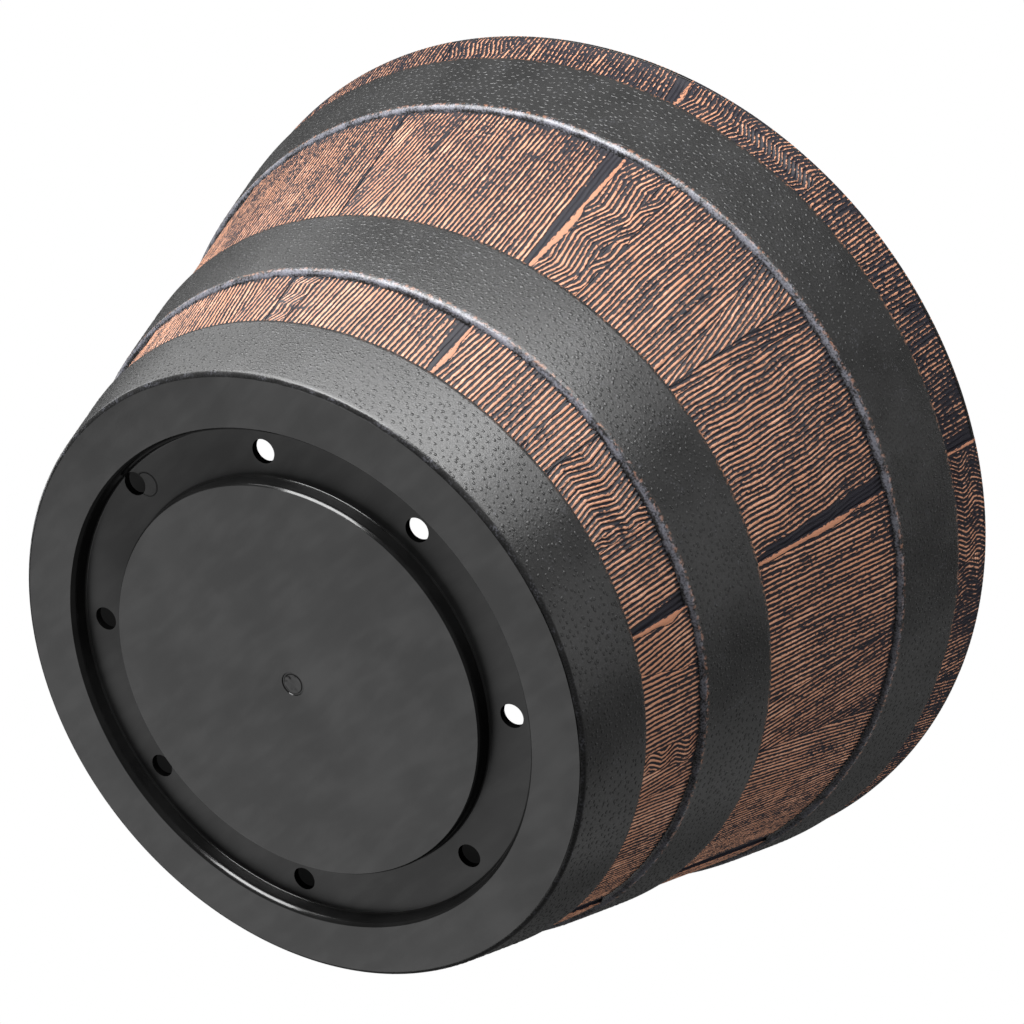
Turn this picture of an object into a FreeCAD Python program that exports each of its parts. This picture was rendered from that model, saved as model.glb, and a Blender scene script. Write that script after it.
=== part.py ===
import FreeCAD, Part
import os
import re

import Sketcher

# Half-barrel planter in resin: a tapered wall of staves, three hoops, a base pan with a drain groove
# and a rim ring. Millimetres and degrees. +Z is up from the origin, the centre of the foot's rest face.
# Every piece is turned about the Z axis from a half-section whose first coordinate is the radius.

DRIVING_SIZES = {
    # The whole
    "overall_height": 226.0,
    "rim_radius": 195.8,
    # Rim ring, and the strip of bare wall between it and the top hoop
    "rim_width": 8.0,
    "rim_depth": 2.0,
    "rim_overhang": 0.3,
    "rim_bevel": 0.6,
    "rim_strip": 17.7,
    # Stave wall, by its outer radius at the rest plane
    "wall_foot_radius": 127.5,
    "wall_thickness": 3.0,
    "stave_pairs": 6,
    "stave_step": 1.0,
    "first_seam_bearing": 30.0,
    # Hoops: the lower two by the heights of their edges, the top one by its width below the rim strip
    "hoop_proud": 1.6,
    "hoop_clearance": 0.1,
    "hoop_shoulder": 0.9,
    "bottom_hoop_top": 32.0,
    "middle_hoop_bottom": 61.5,
    "middle_hoop_top": 98.0,
    "top_hoop_width": 35.3,
    # Base pan, from the foot inwards
    "base_thickness": 3.0,
    "foot_bevel": 1.0,
    "foot_ring_width": 20.1,
    "groove_width": 23.2,
    "groove_depth": 7.2,
    "groove_draft": 2.2,
    "groove_bevel": 1.2,
    "disc_recess": 0.6,
    "disc_draft": 0.3,
    "disc_bevel": 2.0,
    "gate_mark_radius": 5.0,
    "gate_mark_depth": 0.4,
    # Drain holes, drilled by eye, so each has its own bearing and the fourth slipped outwards
    "drain_inset": 11.0,
    "drain_radius": 5.0,
    "drain_slip": 4.8,
    "drain_bearing_1": 47.0,
    "drain_bearing_2": 94.0,
    "drain_bearing_3": 135.0,
    "drain_bearing_4": 176.0,
    "drain_bearing_5": 217.0,
    "drain_bearing_6": 260.0,
    "drain_bearing_7": 309.0,
    "drain_bearing_8": 353.0,
}

# The wall is a straight cone from the rest plane to the underside of the rim
DERIVED_SIZES = {
    "rim_underside": "overall_height - rim_depth",
    "top_hoop_top": "rim_underside - rim_strip",
    "top_hoop_bottom": "top_hoop_top - top_hoop_width",
    "wall_top_radius": "rim_radius - rim_overhang",
    "wall_taper": "(wall_top_radius - wall_foot_radius) / rim_underside",
    "stave_angle": "180 / stave_pairs",
    "groove_mouth_radius": "wall_foot_radius - foot_ring_width",
    "disc_radius": "groove_mouth_radius - groove_width",
    "drain_circle_radius": "disc_radius + drain_inset",
}

SLIPPED_DRAIN = "drain_bearing_4"
FULL_TURN = 360
CIRCLE_MATCH = 0.01

# How a sketch numbers its own origin and axes, the ends of a line and the centre of a circle
SKETCH_ORIGIN = (-1, 1)
HORIZONTAL_AXIS_INDEX = -1
VERTICAL_AXIS_INDEX = -2
START_INDEX = 1
END_INDEX = 2
CENTRE_INDEX = 3

doc = FreeCAD.newDocument("BarrelPlanter")
sheet = doc.addObject("Spreadsheet::Sheet", "Sizes")


def fill_sheet():
    """Write the driving sizes as plain numbers and the sizes that follow from them as formulas."""
    for row, (alias, value) in enumerate(DRIVING_SIZES.items(), start=1):
        sheet.set(f"A{row}", alias)
        sheet.set(f"B{row}", str(value))
        sheet.setAlias(f"B{row}", alias)
    for row, (alias, formula) in enumerate(DERIVED_SIZES.items(), start=len(DRIVING_SIZES) + 1):
        sheet.set(f"A{row}", alias)
        sheet.set(f"B{row}", "=" + formula)
        sheet.setAlias(f"B{row}", alias)
        doc.recompute()


def named(formula):
    """Point every size named in a formula at the sheet."""
    known = DRIVING_SIZES.keys() | DERIVED_SIZES.keys()
    return re.sub(r"[a-z]\w*", lambda word: f"Sizes.{word[0]}" if word[0] in known else word[0], formula)


def number(formula):
    """Value of a formula now, in millimetres or degrees."""
    return float(sheet.evalExpression(named(formula)))


def wall_radius(height):
    """Radius of the wall's outer face at a height."""
    return f"wall_foot_radius + wall_taper * {height}"


def origin_feature(body, role):
    """Origin plane or axis of a body."""
    return next(feature for feature in body.Origin.OriginFeatures if feature.Role == role)


def new_body(label):
    """Empty body whose label is the piece's name."""
    body = doc.addObject("PartDesign::Body", label)
    body.Label = label
    return body


def new_sketch(body, name, role):
    """Empty sketch on one of the body's origin planes."""
    sketch = body.newObject("Sketcher::SketchObject", name)
    sketch.AttachmentSupport = [(origin_feature(body, role), "")]
    sketch.MapMode = "FlatFace"
    return sketch


def bind(sketch, constraint, name, formula):
    """Add a constraint whose value follows a formula."""
    index = sketch.addConstraint(constraint)
    sketch.renameConstraint(index, name)
    sketch.setExpression(f"Constraints.{name}", named(formula))


def pin_point(sketch, name, geometry, end, across, along):
    """Tie one point of a sketch to its two coordinates, each a formula."""
    coordinates = [
        (across, "DistanceX", VERTICAL_AXIS_INDEX),
        (along, "DistanceY", HORIZONTAL_AXIS_INDEX),
    ]
    for formula, kind, axis in coordinates:
        if formula == "0":
            sketch.addConstraint(Sketcher.Constraint("PointOnObject", geometry, end, axis))
        else:
            place = Sketcher.Constraint(kind, *SKETCH_ORIGIN, geometry, end, number(formula))
            bind(sketch, place, f"{name}_{kind}", formula)


def draw_section(sketch, prefix, corners):
    """Draw a closed half-section with straight sides, each corner a radius formula and a height formula."""
    places = [FreeCAD.Vector(number(radius), number(height), 0) for radius, height in corners]
    following = places[1:] + places[:1]
    sides = [sketch.addGeometry(Part.LineSegment(*ends)) for ends in zip(places, following)]
    for index, (side, next_side) in enumerate(zip(sides, sides[1:] + sides[:1])):
        join = Sketcher.Constraint("Coincident", side, END_INDEX, next_side, START_INDEX)
        sketch.addConstraint(join)
        pin_point(sketch, f"{prefix}_{index}", side, START_INDEX, *corners[index])


def turn(body, name, corners):
    """Turn a half-section a full circle about the Z axis."""
    sketch = new_sketch(body, f"{name}_section", "XZ_Plane")
    draw_section(sketch, "corner", corners)
    revolution = body.newObject("PartDesign::Revolution", f"{name}_turned")
    revolution.Profile = sketch
    revolution.ReferenceAxis = (sketch, ["V_Axis"])
    revolution.Angle = FULL_TURN
    sketch.Visibility = False
    doc.recompute()


def circle_edge(shape, radius, height):
    """Name of the edge that is a level circle of this radius at this height."""
    for index, edge in enumerate(shape.Edges, start=1):
        curve = edge.Curve
        if not isinstance(curve, Part.Circle):
            continue
        level = abs(curve.Center.z - height) < CIRCLE_MATCH
        if level and abs(curve.Radius - radius) < CIRCLE_MATCH:
            return f"Edge{index}"
    raise ValueError(f"no circle of radius {radius:.2f} at height {height:.2f}")


def bevel(body, size, circles):
    """Chamfer level circular edges, each given as a radius formula and a height formula."""
    base = body.Tip
    edges = [circle_edge(base.Shape, number(reach), number(height)) for reach, height in circles]
    chamfer = body.newObject("PartDesign::Chamfer", f"{body.Label}_{size}")
    chamfer.Base = (base, edges)
    chamfer.setExpression("Size", named(size))
    doc.recompute()


def require_cut(body, before, name):
    """Stop if a cut took no material away."""
    if not body.Shape.Volume < before:
        raise ValueError(f"{name} cut nothing")


def cut_bores(body, name, bores, depth):
    """Pocket round holes upwards from the rest plane. Each bore is an X, a Y and a radius formula."""
    before = body.Shape.Volume
    sketch = new_sketch(body, f"{name}_circles", "XY_Plane")
    for index, (across, along, radius) in enumerate(bores):
        centre = FreeCAD.Vector(number(across), number(along), 0)
        circle = Part.Circle(centre, FreeCAD.Vector(0, 0, 1), number(radius))
        geometry = sketch.addGeometry(circle)
        pin_point(sketch, f"bore_{index}", geometry, CENTRE_INDEX, across, along)
        bind(sketch, Sketcher.Constraint("Radius", geometry, number(radius)), f"bore_{index}_reach", radius)
    pocket = body.newObject("PartDesign::Pocket", name)
    pocket.Profile = sketch
    pocket.setExpression("Length", named(depth))
    pocket.Reversed = True
    sketch.Visibility = False
    doc.recompute()
    require_cut(body, before, name)


def make_base_pan():
    """Base: centre disc, drain groove and foot ring, on whose upper face wall and bottom hoop stand."""
    body = new_body("base_pan")
    groove_mouth = ("groove_mouth_radius", "0")
    disc_edge = ("disc_radius", "disc_recess")
    corners = [
        ("0", "disc_recess"),
        disc_edge,
        ("disc_radius + disc_draft", "groove_depth"),
        ("groove_mouth_radius - groove_draft", "groove_depth"),
        groove_mouth,
        ("wall_foot_radius + hoop_proud - foot_bevel", "0"),
        (wall_radius("base_thickness") + " + hoop_proud", "base_thickness"),
        ("groove_mouth_radius + base_thickness", "base_thickness"),
        ("groove_mouth_radius - groove_draft + base_thickness", "groove_depth + base_thickness"),
        ("disc_radius + disc_draft - base_thickness", "groove_depth + base_thickness"),
        ("disc_radius - base_thickness", "disc_recess + base_thickness"),
        ("0", "disc_recess + base_thickness"),
    ]
    turn(body, "base", corners)
    bevel(body, "groove_bevel", [groove_mouth])
    bevel(body, "disc_bevel", [disc_edge])
    drains = []
    for bearing in [alias for alias in DRIVING_SIZES if alias.startswith("drain_bearing")]:
        reach = "(drain_circle_radius + drain_slip)" if bearing == SLIPPED_DRAIN else "drain_circle_radius"
        drains.append((f"{reach} * cos({bearing})", f"{reach} * sin({bearing})", "drain_radius"))
    cut_bores(body, "drain_holes", drains, "groove_depth + base_thickness * 2")
    cut_bores(body, "gate_mark", [("0", "0", "gate_mark_radius")], "disc_recess + gate_mark_depth")
    return body


def make_stave_wall():
    """Wall: a tapered shell of even thickness, with every second stave sunk."""
    body = new_body("stave_wall")
    outside = [
        (wall_radius("base_thickness"), "base_thickness"),
        ("wall_top_radius", "rim_underside"),
    ]
    inside = [(f"{radius} - wall_thickness", height) for radius, height in reversed(outside)]
    turn(body, "wall", outside + inside)
    sink_staves(body)
    return body


def sink_staves(body):
    """Cut every second stave back between the hoops, so that its neighbours stand proud at the seams."""
    before = body.Shape.Volume
    sketch = new_sketch(body, "stave_cutters", "XZ_Plane")
    middle = "first_seam_bearing + stave_angle / 2"
    sketch.AttachmentOffset = FreeCAD.Placement(FreeCAD.Vector(), FreeCAD.Vector(0, 1, 0), number(middle))
    sketch.setExpression("AttachmentOffset.Rotation.Angle", named(middle))
    bands = [("bottom_hoop_top", "middle_hoop_bottom"), ("middle_hoop_top", "top_hoop_bottom")]
    for index, (bottom, top) in enumerate(bands):
        corners = [
            (f"{wall_radius(bottom)} - stave_step", bottom),
            (f"{wall_radius(top)} - stave_step", top),
            (f"{wall_radius(top)} + stave_step", top),
            (f"{wall_radius(bottom)} + stave_step", bottom),
        ]
        draw_section(sketch, f"band_{index}", corners)
    cut = body.newObject("PartDesign::Groove", "sunk_stave")
    cut.Profile = sketch
    cut.ReferenceAxis = (sketch, ["V_Axis"])
    cut.Midplane = True
    cut.setExpression("Angle", named("stave_angle"))
    sketch.Visibility = False
    doc.recompute()
    require_cut(body, before, "sunk_stave")
    staves = body.newObject("PartDesign::PolarPattern", "sunk_staves")
    staves.Originals = [cut]
    staves.Axis = (origin_feature(body, "Z_Axis"), [""])
    staves.Angle = FULL_TURN
    staves.setExpression("Occurrences", named("stave_pairs"))
    body.Tip = staves
    doc.recompute()


def make_hoop(label, bottom, top, stands_free):
    """Hoop: a band that lies on the wall, bevelled where its lower edge stands free."""
    body = new_body(label)
    lower_edge = (f"{wall_radius(bottom)} + hoop_proud", bottom)
    corners = [
        lower_edge,
        (f"{wall_radius(top)} + hoop_proud", top),
        (f"{wall_radius(top)} + hoop_clearance", top),
        (f"{wall_radius(bottom)} + hoop_clearance", bottom),
    ]
    turn(body, label, corners)
    if stands_free:
        bevel(body, "hoop_shoulder", [lower_edge])
    return body


def make_rim_ring():
    """Rim: the plain edge that closes the wall at the mouth, bevelled along the top."""
    body = new_body("rim_ring")
    corners = [
        ("rim_radius", "rim_underside"),
        ("rim_radius", "overall_height"),
        ("rim_radius - rim_width", "overall_height"),
        ("rim_radius - rim_width", "rim_underside"),
    ]
    turn(body, "rim", corners)
    bevel(body, "rim_bevel", corners[1:3])
    return body


def check_document(pieces):
    """Stop if any object failed or any piece is not one valid solid."""
    for item in doc.Objects:
        if "Invalid" in item.State or "Error" in item.State:
            raise ValueError(f"{item.Label} failed: {item.State}")
    for piece in pieces:
        if piece.Shape.isNull() or not piece.Shape.isValid() or len(piece.Shape.Solids) != 1:
            raise ValueError(f"{piece.Label} is not one valid solid")


def write_pieces(pieces):
    """Write every piece to its own file."""
    os.makedirs("parts", exist_ok=True)
    for piece in pieces:
        piece.Shape.exportStep(os.path.join("parts", f"{piece.Label}.step"))
        box = piece.Shape.BoundBox
        print(f"{piece.Label}: {piece.Shape.Volume / 1000:.1f} cm3, z {box.ZMin:.2f} to {box.ZMax:.2f}")


fill_sheet()
planter = [
    make_base_pan(),
    make_stave_wall(),
    make_hoop("bottom_hoop", "base_thickness", "bottom_hoop_top", stands_free=False),
    make_hoop("middle_hoop", "middle_hoop_bottom", "middle_hoop_top", stands_free=True),
    make_hoop("top_hoop", "top_hoop_bottom", "top_hoop_top", stands_free=True),
    make_rim_ring(),
]
doc.recompute()
check_document(planter)
write_pieces(planter)
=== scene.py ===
import math

import bmesh
import bpy
import numpy as np
from mathutils import Matrix, Vector


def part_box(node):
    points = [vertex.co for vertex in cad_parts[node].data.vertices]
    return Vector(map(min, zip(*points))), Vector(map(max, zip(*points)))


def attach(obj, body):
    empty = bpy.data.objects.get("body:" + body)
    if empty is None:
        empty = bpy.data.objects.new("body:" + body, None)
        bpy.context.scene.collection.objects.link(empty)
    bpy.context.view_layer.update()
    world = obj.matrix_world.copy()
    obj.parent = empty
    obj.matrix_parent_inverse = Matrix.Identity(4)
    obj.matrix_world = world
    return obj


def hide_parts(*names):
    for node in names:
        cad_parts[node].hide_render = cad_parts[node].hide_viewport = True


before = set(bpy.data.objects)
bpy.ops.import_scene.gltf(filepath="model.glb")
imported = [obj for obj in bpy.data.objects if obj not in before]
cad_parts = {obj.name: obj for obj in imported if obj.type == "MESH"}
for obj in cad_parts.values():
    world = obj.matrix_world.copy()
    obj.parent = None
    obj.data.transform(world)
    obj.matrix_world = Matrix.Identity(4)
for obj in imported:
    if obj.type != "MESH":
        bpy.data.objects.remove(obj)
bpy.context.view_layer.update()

# Looks of a half-barrel planter: a resin wall moulded as wood-grained staves, three pebbled hoops, a smooth
# base with a drain groove, and a smooth rim. Lengths are millimetres until a mesh is made, and bearings are
# degrees unless a function says radians. The floor, the lights and the camera are in metres.

MM = 0.001


def heights(node):
    """Lower and upper height of a CAD node."""
    low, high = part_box(node)
    return low.z / MM, high.z / MM


def reach(node):
    """Outer radius of a CAD node."""
    low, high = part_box(node)
    return (high.x - low.x) / 2 / MM


# Sizes from the frame
BOTTOM_HOOP = heights("bottom_hoop")
MIDDLE_HOOP = heights("middle_hoop")
TOP_HOOP = heights("top_hoop")
RIM = heights("rim_ring")
RIM_RADIUS = reach("rim_ring")
WALL_TOP_RADIUS = reach("stave_wall")
GROOVE_TOP = heights("base_pan")[1]

# Sizes of the moulding
HOOP_PROUD = 1.6
WALL_THICKNESS = 3.0
WALL_TAPER = (WALL_TOP_RADIUS - reach("base_pan") + HOOP_PROUD) / (RIM[0] - BOTTOM_HOOP[0])
WALL_SLOPE = math.atan(WALL_TAPER)


def wall_radius(height):
    """Outer radius of the wall, a straight cone."""
    return WALL_TOP_RADIUS - WALL_TAPER * (RIM[0] - height)


# Mesh helpers

MERGE_DISTANCE = 0.002
FULL_TURN = 360


def polar(radius, bearing, height):
    """Points at a radius, a bearing in radians and a height."""
    return np.stack([radius * np.cos(bearing), radius * np.sin(bearing), height], -1)


def make_piece(name, points, faces, material, attributes=None, merge=False):
    """Mesh object from points in millimetres, with one float attribute per name."""
    mesh = bpy.data.meshes.new(name)
    mesh.from_pydata((np.asarray(points) * MM).tolist(), [], faces)
    for label, values in (attributes or {}).items():
        layer = mesh.attributes.new(label, "FLOAT", "POINT")
        layer.data.foreach_set("value", np.asarray(values, np.float32))
    tidy = bmesh.new()
    tidy.from_mesh(mesh)
    if merge:
        bmesh.ops.remove_doubles(tidy, verts=tidy.verts, dist=MERGE_DISTANCE * MM)
    bmesh.ops.recalc_face_normals(tidy, faces=tidy.faces)
    if tidy.calc_volume(signed=True) < 0:
        bmesh.ops.reverse_faces(tidy, faces=tidy.faces)
    tidy.to_mesh(mesh)
    tidy.free()
    mesh.materials.append(material)
    piece = bpy.data.objects.new(name, mesh)
    bpy.context.scene.collection.objects.link(piece)
    return piece


def shade_smooth(piece, sharp_angle):
    """Smooth shading, apart from edges sharper than an angle in degrees."""
    mesh = piece.data
    mesh.polygons.foreach_set("use_smooth", [True] * len(mesh.polygons))
    mesh.set_sharp_from_angle(angle=math.radians(sharp_angle))
    mesh.update()


def place_piece(piece, node):
    """Ride a piece on the planter's one body, in place of a CAD node."""
    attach(piece, "root")
    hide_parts(node)


def revolve(profile, segments, closed):
    """Points and faces of a profile of radius and height turned about the Z axis."""
    profile = np.asarray(profile, float)
    count = len(profile)
    angles = np.arange(segments) * (2 * math.pi / segments)
    radius, height = profile[:, 0], profile[:, 1]
    x = np.outer(np.cos(angles), radius)
    y = np.outer(np.sin(angles), radius)
    z = np.broadcast_to(height, x.shape)
    points = np.stack([x, y, z], axis=-1).reshape(-1, 3)
    faces = []
    last = count if closed else count - 1
    for segment in range(segments):
        here = segment * count
        there = (segment + 1) % segments * count
        for index in range(last):
            after = (index + 1) % count
            faces.append((here + index, there + index, there + after, here + after))
    return points, faces


def rounded(corners, steps):
    """Closed or open outline whose corners, each a radius, a height and a rounding, become arcs."""
    outline = []
    count = len(corners)
    for index, (across, along, rounding) in enumerate(corners):
        corner = Vector((across, along))
        if rounding == 0:
            outline.append(tuple(corner))
            continue
        before = Vector(corners[index - 1][:2]) - corner
        after = Vector(corners[(index + 1) % count][:2]) - corner
        half_turn = before.angle(after) / 2
        back = rounding / math.tan(half_turn)
        inwards = (before.normalized() + after.normalized()).normalized()
        middle = corner + inwards * (rounding / math.sin(half_turn))
        first = corner + before.normalized() * back - middle
        second = corner + after.normalized() * back - middle
        for step in range(steps + 1):
            ray = first.normalized().slerp(second.normalized(), step / steps)
            outline.append(tuple(middle + ray * rounding))
    return outline


def soft_noise(random, across, along, cell_across, cell_along):
    """Smooth random field from -1 to 1 at the given coordinates."""
    u = (across - across.min()) / cell_across
    v = (along - along.min()) / cell_along
    grid = random.uniform(-1, 1, (int(u.max()) + 2, int(v.max()) + 2))
    i, j = u.astype(int), v.astype(int)
    s, t = u - i, v - j
    s = s * s * (3 - 2 * s)
    t = t * t * (3 - 2 * t)
    low = grid[i, j] * (1 - s) + grid[i + 1, j] * s
    high = grid[i, j + 1] * (1 - s) + grid[i + 1, j + 1] * s
    return low * (1 - t) + high * t


# Material helpers

NOISE_LOW = 0.3
NOISE_HIGH = 0.7


def srgb(red, green, blue):
    """Linear colour of 8-bit display values."""
    def linear(value):
        share = value / 255
        return share / 12.92 if share <= 0.04045 else ((share + 0.055) / 1.055) ** 2.4
    return (linear(red), linear(green), linear(blue), 1.0)


def new_material(name):
    """Empty material with its output and a principled shader."""
    material = bpy.data.materials.new(name)
    material.use_nodes = True
    tree = material.node_tree
    tree.nodes.clear()
    output = tree.nodes.new("ShaderNodeOutputMaterial")
    shader = tree.nodes.new("ShaderNodeBsdfPrincipled")
    tree.links.new(shader.outputs["BSDF"], output.inputs["Surface"])
    return material, tree, shader


def feed(tree, socket, value):
    """Set a socket, or link it when the value is another socket."""
    if isinstance(value, bpy.types.NodeSocket):
        tree.links.new(value, socket)
    else:
        socket.default_value = value


def math_node(tree, operation, first, second=0.0):
    """Result of an operation on two sockets or numbers."""
    node = tree.nodes.new("ShaderNodeMath")
    node.operation = operation
    feed(tree, node.inputs[0], first)
    feed(tree, node.inputs[1], second)
    return node.outputs[0]


def ramp(tree, value, low, high, start=0.0, end=1.0):
    """Value mapped smoothly from one range to another."""
    node = tree.nodes.new("ShaderNodeMapRange")
    node.interpolation_type = "SMOOTHSTEP"
    feed(tree, node.inputs["Value"], value)
    for label, number in (("From Min", low), ("From Max", high), ("To Min", start), ("To Max", end)):
        node.inputs[label].default_value = number
    return node.outputs["Result"]


def spread(tree, value, start=0.0, end=1.0):
    """Noise mapped from the range that most of it lies in to another range."""
    return ramp(tree, value, NOISE_LOW, NOISE_HIGH, start, end)


def mix(tree, share, first, second):
    """Colour between two colours."""
    node = tree.nodes.new("ShaderNodeMix")
    node.data_type = "RGBA"
    feed(tree, node.inputs["Factor"], share)
    feed(tree, node.inputs["A"], first)
    feed(tree, node.inputs["B"], second)
    return node.outputs["Result"]


def attribute(tree, name):
    """Float attribute of the mesh."""
    node = tree.nodes.new("ShaderNodeAttribute")
    node.attribute_name = name
    return node.outputs["Fac"]


def noise(tree, size, detail=2.0, stretch=(1.0, 1.0, 1.0)):
    """Noise in object space, with features of about a size in millimetres, longer along stretched axes."""
    place = tree.nodes.new("ShaderNodeTexCoord").outputs["Object"]
    scale = tree.nodes.new("ShaderNodeMapping")
    scale.inputs["Scale"].default_value = [1 / (size * MM * part) for part in stretch]
    tree.links.new(place, scale.inputs["Vector"])
    node = tree.nodes.new("ShaderNodeTexNoise")
    tree.links.new(scale.outputs["Vector"], node.inputs["Vector"])
    node.inputs["Scale"].default_value = 1.0
    node.inputs["Detail"].default_value = detail
    return node.outputs["Fac"]


def circle_line(tree, centre, radius, width):
    """One on a thin circle about an upright axis, falling to zero beside it, all in millimetres."""
    place = tree.nodes.new("ShaderNodeTexCoord").outputs["Object"]
    flat = tree.nodes.new("ShaderNodeVectorMath")
    flat.operation = "MULTIPLY"
    tree.links.new(place, flat.inputs[0])
    flat.inputs[1].default_value = (1 / MM, 1 / MM, 0)
    away = tree.nodes.new("ShaderNodeVectorMath")
    away.operation = "DISTANCE"
    tree.links.new(flat.outputs["Vector"], away.inputs[0])
    away.inputs[1].default_value = centre
    off = math_node(tree, "ABSOLUTE", math_node(tree, "SUBTRACT", away.outputs["Value"], radius))
    return ramp(tree, off, 0.0, width, 1.0, 0.0)


def bump(tree, height, distance, strength):
    """Normal shifted by a height field, whose full rise is a distance in millimetres."""
    node = tree.nodes.new("ShaderNodeBump")
    node.inputs["Strength"].default_value = strength
    node.inputs["Distance"].default_value = distance * MM
    tree.links.new(height, node.inputs["Height"])
    return node.outputs["Normal"]


# Drain holes, and the guide mark that one of them slipped off

FOOT_RING_WIDTH = 20.1
GROOVE_WIDTH = 23.2
WALL_FOOT_RADIUS = wall_radius(0.0)
GROOVE_MOUTH_RADIUS = WALL_FOOT_RADIUS - FOOT_RING_WIDTH
DISC_RADIUS = GROOVE_MOUTH_RADIUS - GROOVE_WIDTH
DRAIN_INSET = 11.0
DRAIN_CIRCLE_RADIUS = DISC_RADIUS + DRAIN_INSET
DRAIN_RADIUS = 5.0
DRAIN_BEARINGS = (47, 94, 135, 176, 217, 260, 309, 353)
SLIPPED_BEARING = 176
DRAIN_SLIP = 4.8
GUIDE_BEARING = 178.7
GUIDE_SLIP = 1.4
GUIDE_MARK = tuple(polar(DRAIN_CIRCLE_RADIUS + GUIDE_SLIP, math.radians(GUIDE_BEARING), 0.0))
GUIDE_RADIUS = 5.0
GUIDE_WIDTH = 0.4
GUIDE_DEPTH = 0.3


# Materials

COPPER_BRIGHT = srgb(190, 147, 123)
COPPER_DEEP = srgb(163, 115, 89)
COPPER_LIP = srgb(158, 108, 82)
GROOVE_BLACK = srgb(24, 23, 30)
CHARCOAL = srgb(34, 34, 34)
CHARCOAL_LIGHT = srgb(40, 40, 40)
# Pale band of the hoops' lower shoulders: partly frosted wear, partly a painted highlight where the shoulder
# catches the light
FROST_AND_SHEEN = srgb(120, 121, 130)
SATIN_BLACK = srgb(19, 19, 19)
SATIN_GREY = srgb(29, 29, 29)
# Near-black of the drilled faces in the drain holes: painted shade inside the holes
BORE_SHADE_BLACK = srgb(9, 9, 9)

# Patterns have a size in millimetres, and an edge: the values at which they start and are full
PATCH_EDGE = (0.35, 0.65)

# Wood: a crest is 0 high in a valley and 1 on a ridge, and paint covers it above the paint's edge
RAGGED_SIZE = 0.7
RAGGED_STRETCH = (1.0, 1.0, 4.0)
RAGGED_SHIFT = 0.2
RAGGED_RELIEF = 0.08
RAGGED_STRENGTH = 0.4
STROKE_SIZE = 16.0
STROKE_STRETCH = (1.0, 1.0, 0.06)
STROKE_EDGE = (0.62, 0.74)
STROKE_LOAD = 0.3
PAINT_EDGE = (0.58, 0.78)
THICK_PAINT_EDGE = (0.8, 1.1)
TINT_SIZE = 18.0
WOOD_ROUGHNESS = 0.5
BARE_GLOSS = 0.35
PAINT_GLOSS = 0.5

# Hoops
SPECK_SIZE = 0.8
SPECK_SHIFT = 0.3
SPECK_RELIEF = 0.11
SPECK_STRENGTH = 0.7
STREAK_SIZE = 6.0
STREAK_SHIFT = 0.25
FROST_SHEEN_EDGE = (0.3, 1.2)
FROST_SHEEN_SHARE = 0.85
CHARCOAL_SIZE = 22.0
FLECK_SIZE = 1.6
FLECK_EDGE = (0.52, 0.6)
HOOP_DETAIL = 3.0
HOOP_ROUGHNESS = (0.25, 0.31)

# Base, rim and inner face
CLOUD_SIZE = 34.0
CLOUD_SHARE = 0.6
SMUDGE_SIZE = 6.0
SMUDGE_STRETCH = (1.0, 4.0, 1.0)
SMUDGE_EDGE = (0.4, 0.7)
SMUDGE_SHARE = 0.4
SMOOTH_DETAIL = 4.0
SMOOTH_GLOSS = (0.45, 0.56)
SATIN_ROUGHNESS = 0.17
MATTE_ROUGHNESS = 0.4
GRIT_SIZE = 1.2
GRIT_SHARE = 0.05
GUIDE_STRENGTH = 0.6
INNER_SIZE = 40.0
INNER_DETAIL = 3.0
INNER_ROUGHNESS = 0.6
INNER_GLOSS = 0.2


def wood_material():
    """Near-black moulded grain, with copper paint dry-brushed on its crests."""
    material, tree, shader = new_material("wood_look_resin")
    ragged = noise(tree, RAGGED_SIZE, stretch=RAGGED_STRETCH)
    brush_stroke = noise(tree, STROKE_SIZE, stretch=STROKE_STRETCH)
    level = math_node(tree, "ADD", attribute(tree, "crest"), attribute(tree, "paint"))
    level = math_node(tree, "ADD", level, spread(tree, ragged, -RAGGED_SHIFT, RAGGED_SHIFT))
    level = math_node(tree, "ADD", level, ramp(tree, brush_stroke, *STROKE_EDGE, 0.0, STROKE_LOAD))
    covered = ramp(tree, level, *PAINT_EDGE)
    tint = mix(tree, ramp(tree, noise(tree, TINT_SIZE), *PATCH_EDGE), COPPER_DEEP, COPPER_BRIGHT)
    tint = mix(tree, ramp(tree, level, *THICK_PAINT_EDGE), COPPER_DEEP, tint)
    tint = mix(tree, attribute(tree, "lip"), tint, COPPER_LIP)
    feed(tree, shader.inputs["Base Color"], mix(tree, covered, GROOVE_BLACK, tint))
    feed(tree, shader.inputs["Roughness"], WOOD_ROUGHNESS)
    gloss = ramp(tree, covered, 0.0, 1.0, BARE_GLOSS, PAINT_GLOSS)
    feed(tree, shader.inputs["Specular IOR Level"], gloss)
    feed(tree, shader.inputs["Normal"], bump(tree, ragged, RAGGED_RELIEF, RAGGED_STRENGTH))
    return material


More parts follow.
